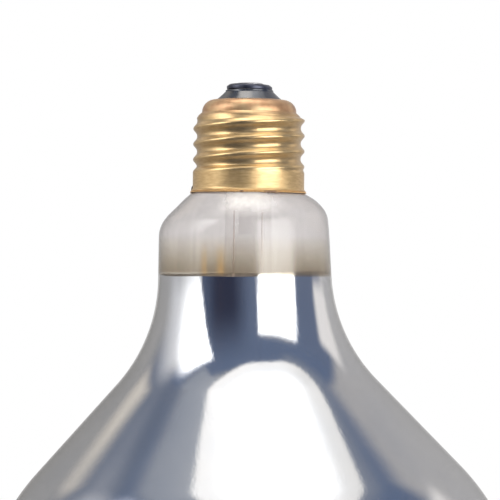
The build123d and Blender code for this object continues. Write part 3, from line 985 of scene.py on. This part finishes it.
def card(name, bearings, rises, distance, colours, fade=(0, 0, 0, 0), lean=(0.0, 0.0)):
    """Patch between two bearings and two elevations. Its colours are those of its low left, low
    right, high left and high right corners and run into each other. It fades out near its left,
    right, low and high edge over the degrees in fade, where they aren't 0; lean moves its left and
    right edge as they rise."""
    bearing, rise = np.meshgrid(np.linspace(*bearings, 60), np.linspace(*rises, 48))
    across = ((bearing - bearings[0]) / (bearings[1] - bearings[0]))[..., None]
    up = ((rise - rises[0]) / (rises[1] - rises[0]))[..., None]
    low_left, low_right, high_left, high_right = (np.array(colour) for colour in colours)
    colour = (1 - up) * ((1 - across) * low_left + across * low_right) + up * (
        (1 - across) * high_left + across * high_right
    )
    gaps = (bearing - bearings[0], bearings[1] - bearing, rise - rises[0], rises[1] - rise)
    clear = np.ones_like(rise)
    for gap, width in zip(gaps, fade):
        if width:
            clear = clear * ease(gap / width)
    slant = (lean[0] + (lean[1] - lean[0]) * across[..., 0]) * rise
    reflected(name, bearing + slant, rise, distance, colour, clear)


def overhead(name, distance, lean, towards, reach, fade, level):
    """Round light overhead, leaned towards a bearing by some degrees. Its edge lies reach degrees
    from its own middle, where reach may differ with the bearing. Level is its colour, or gives it
    from a bearing and a distance in from the edge."""
    lean = math.radians(lean)
    turn, share = np.meshgrid(np.linspace(0, TAU, 97), np.linspace(0.0005, 1, 60))
    place = (np.degrees(turn) + towards + 180) % 360 - 180
    if callable(reach):
        reach = reach(place)
    open_angle = np.radians(share * reach)
    x = np.sin(open_angle) * np.cos(turn)
    y = np.sin(open_angle) * np.sin(turn)
    z = np.cos(open_angle)
    x, z = x * math.cos(lean) + z * math.sin(lean), z * math.cos(lean) - x * math.sin(lean)
    bearing = np.degrees(np.arctan2(y, x)) + towards
    rise = np.degrees(np.arcsin(np.clip(z, -1, 1)))
    inward = reach * (1 - share)
    colour = level(place, inward) if callable(level) else np.broadcast_to(level, (*place.shape, 3))
    reflected(name, bearing, rise, distance, colour, ease(inward / fade))


def ceiling_level(place, inward):
    """Warm near the edge and white further in, dimmer at the right end of its edge."""
    warm = np.array([1.0, 0.975, 0.94])
    dim = 0.22 * hill(place, 95, 35) * (1 - ease((inward - 3) / 12))
    strength = (1.3 + 1.1 * ease((inward - 6) / 12)) * (1 - dim)
    return (warm + ease(inward / 14)[..., None] * (1 - warm)) * strength[..., None]


def ceiling_reach(place):
    """Drawn in a little towards the front right."""
    return 29.0 - 1.9 * hill(place, 20, 24)


def make_studio():
    """What the mirror sees: a grey room, dark flats in front, and soft boxes left, right and above,
    with a brighter spot in the one above."""
    floor, back_left, back_right = (0.2, 0.15, 0.11), (0.43, 0.42, 0.41), (0.6, 0.59, 0.59)
    roof_left, roof_right = (0.25, 0.26, 0.28), (0.42, 0.4, 0.4)
    navy, slate, mist = (0.032, 0.038, 0.07), (0.14, 0.185, 0.29), (0.16, 0.185, 0.26)
    card("room_low", (-180, 180), (-90, 0), 1700, (floor, floor, back_left, back_right))
    card("room_high", (-180, 180), (0, 90), 1710, (back_left, back_right, roof_left, roof_right))
    card("front_flat", (-64, 24), (-70, 66), 1500, (navy, mist, slate, slate), (8, 12, 20, 6))
    card("dark_flat", (-60, 10), (-30, 62), 1490, (navy,) * 4, (26, 30, 12, 44))
    card("upper_flat", (-140, 125), (38, 66), 1510, (slate,) * 4, (24, 24, 8, 5))
    haze_low, haze_high = (0.27, 0.3, 0.36), (0.52, 0.54, 0.58)
    haze = (haze_low, haze_low, haze_high, haze_high)
    card("upper_left_flat", (-128, -32), (50, 76), 1500, haze, (20, 34, 8, 4))
    card("upper_right_flat", (42, 125), (48, 64), 1500, ((0.24, 0.27, 0.34),) * 4, (20, 20, 7, 4))
    card("right_flat", (60, 124), (-30, 60), 1520, (mist, mist, slate, slate), (6, 14, 20, 8))
    card("left_gap", (-140, -96), (12, 66), 1480, ((0.17, 0.2, 0.27),) * 4, (18, 14, 22, 6))
    card("beige_patch", (-162, -122), (22, 52), 1470, ((0.78, 0.72, 0.64),) * 4, (13, 13, 10, 10))
    card("small_box", (97, 134), (2, 36), 1400, ((0.98, 0.94, 0.91),) * 4, (9, 12, 9, 7))
    card("left_spill", (-128, -84), (-10, 50), 1390, ((0.8, 0.8, 0.82),) * 4, (30, 8, 20, 16))
    right_levels = [(level,) * 3 for level in (6.8, 4.8, 2.6, 2.0)]
    card("right_box", (15.6, 71.6), (-10, 42.8), 1200, right_levels, (5.5, 7, 12, 4.5), (-0.06, 0))
    left_levels = [(level,) * 3 for level in (0.2, 0.8, 1.7, 7.5)]
    card("left_box", (-108, -58), (-5, 54), 1200, left_levels, (26, 6, 5, 8), (0.1, 0.24))
    overhead("ceiling_box", 1200, 7.0, 72, ceiling_reach, 2.4, ceiling_level)
    overhead("ceiling_spot", 1100, 10.0, -130, 16.0, 8.0, (4.6, 4.35, 4.0))


def pale_floor():
    """Matte pale floor, clear where the field called near is 0."""
    finish = Finish("pale_floor")
    finish.set(Base_Color=(0.86, 0.86, 0.86), Roughness=0.7, Specular_IOR_Level=0.2)
    return finish.show(finish.either(finish.attribute("near"), finish.clear(), finish.shader.outputs["BSDF"]))


def make_floor():
    """Round pale floor under the bulb, which melts into the white background away from it."""
    radius = np.linspace(0, 900, 30)[:, None]
    angle = turns(96)
    near = 1 - ease((radius - 150) / 350) * np.ones_like(angle)
    piece = surface("floor", round_axis(radius, angle, GLASS_LOW[2] - 0.05), fields={"near": near})
    piece.data.materials.append(pale_floor())
    piece.visible_glossy = False


def make_world():
    """White background for sight, reflections and glass; a plain level for matte surfaces."""
    world = bpy.data.worlds.new("studio")
    bpy.context.scene.world = world
    world.use_nodes = True
    nodes, links = world.node_tree.nodes, world.node_tree.links
    nodes.clear()
    path = nodes.new("ShaderNodeLightPath")
    seen = path.outputs["Is Camera Ray"]
    for ray in ("Is Glossy Ray", "Is Transmission Ray"):
        either = nodes.new("ShaderNodeMath")
        either.operation = "MAXIMUM"
        links.new(seen, either.inputs[0])
        links.new(path.outputs[ray], either.inputs[1])
        seen = either.outputs[0]
    mix = nodes.new("ShaderNodeMixShader")
    links.new(seen, mix.inputs["Fac"])
    for socket, strength in ((mix.inputs[1], 0.6), (mix.inputs[2], 1.0)):
        white = nodes.new("ShaderNodeBackground")
        white.inputs["Color"].default_value = (1, 1, 1, 1)
        white.inputs["Strength"].default_value = strength
        links.new(white.outputs["Background"], socket)
    links.new(mix.outputs["Shader"], nodes.new("ShaderNodeOutputWorld").inputs["Surface"])


def make_lamps():
    """Two large soft lamps, from the upper left and the right, at a plain level."""
    for name, place, size, power in (
        ("key", (-0.5, -0.9, 0.7), 0.7, 9.0),
        ("fill", (0.8, -0.6, 0.25), 0.8, 6.0),
    ):
        light = bpy.data.lights.new(name, "AREA")
        light.shape = "DISK"
        light.size = size
        light.energy = power
        lamp = bpy.data.objects.new(name, light)
        lamp.location = place
        direction = np.array([0, 0, -0.08]) - np.array(place)
        yaw = math.atan2(direction[1], direction[0]) - math.pi / 2
        pitch = math.atan2(direction[2], math.hypot(direction[0], direction[1])) + math.pi / 2
        lamp.rotation_euler = (pitch, 0, yaw)
        lamp.visible_glossy = False
        bpy.context.scene.collection.objects.link(lamp)


def make_camera():
    """Level camera at the photograph's distance and roll, aimed so that the contact's middle falls
    on its pixel."""
    dx = (ORIGIN_PIXEL[0] - PHOTO_SIZE / 2) / PIXELS_PER_MM
    dz = (PHOTO_SIZE / 2 - ORIGIN_PIXEL[1]) / PIXELS_PER_MM
    c, s = math.cos(CAMERA_ROLL), math.sin(CAMERA_ROLL)
    aim_x = -(c * dx - s * dz)
    aim_z = -(s * dx + c * dz)
    data = bpy.data.cameras.new("camera")
    data.sensor_width = 36.0
    data.lens = data.sensor_width * CAMERA_DISTANCE * PIXELS_PER_MM / PHOTO_SIZE
    data.clip_start = 0.01
    data.clip_end = 20
    camera = bpy.data.objects.new("camera", data)
    camera.location = (aim_x * MM, -CAMERA_DISTANCE * MM, aim_z * MM)
    camera.rotation_euler = (math.pi / 2, -CAMERA_ROLL, 0)
    bpy.context.scene.collection.objects.link(camera)
    bpy.context.scene.camera = camera


make_envelope()
make_mirror()
make_cap()
make_insulator()
make_contact_plate()
make_contact_solder()
make_drop_of_solder()
make_cement()
make_stem()
make_exhaust()
make_rod()
tungsten = drawn_wire("tungsten", (0.14, 0.13, 0.13), (0.34, 0.33, 0.33), 0.35)
make_filament(tungsten)
paint_nodes(tungsten, *(f"filament_hook_{k + 1}" for k in range(HOOKS)))
paint_nodes(
    drawn_wire("copper", (0.6, 0.45, 0.37), (0.85, 0.72, 0.64), 0.5, 0.5),
    "contact_lead", "side_lead", "seal_wire_left", "seal_wire_right",
)
paint_nodes(
    drawn_wire("nickel", (0.6, 0.58, 0.56), (0.85, 0.84, 0.82), 0.45, 0.5),
    "feed_wire_left", "feed_wire_right",
)
make_studio()
make_floor()
make_world()
make_lamps()
make_camera()
bpy.context.scene.view_settings.view_transform = "Standard"
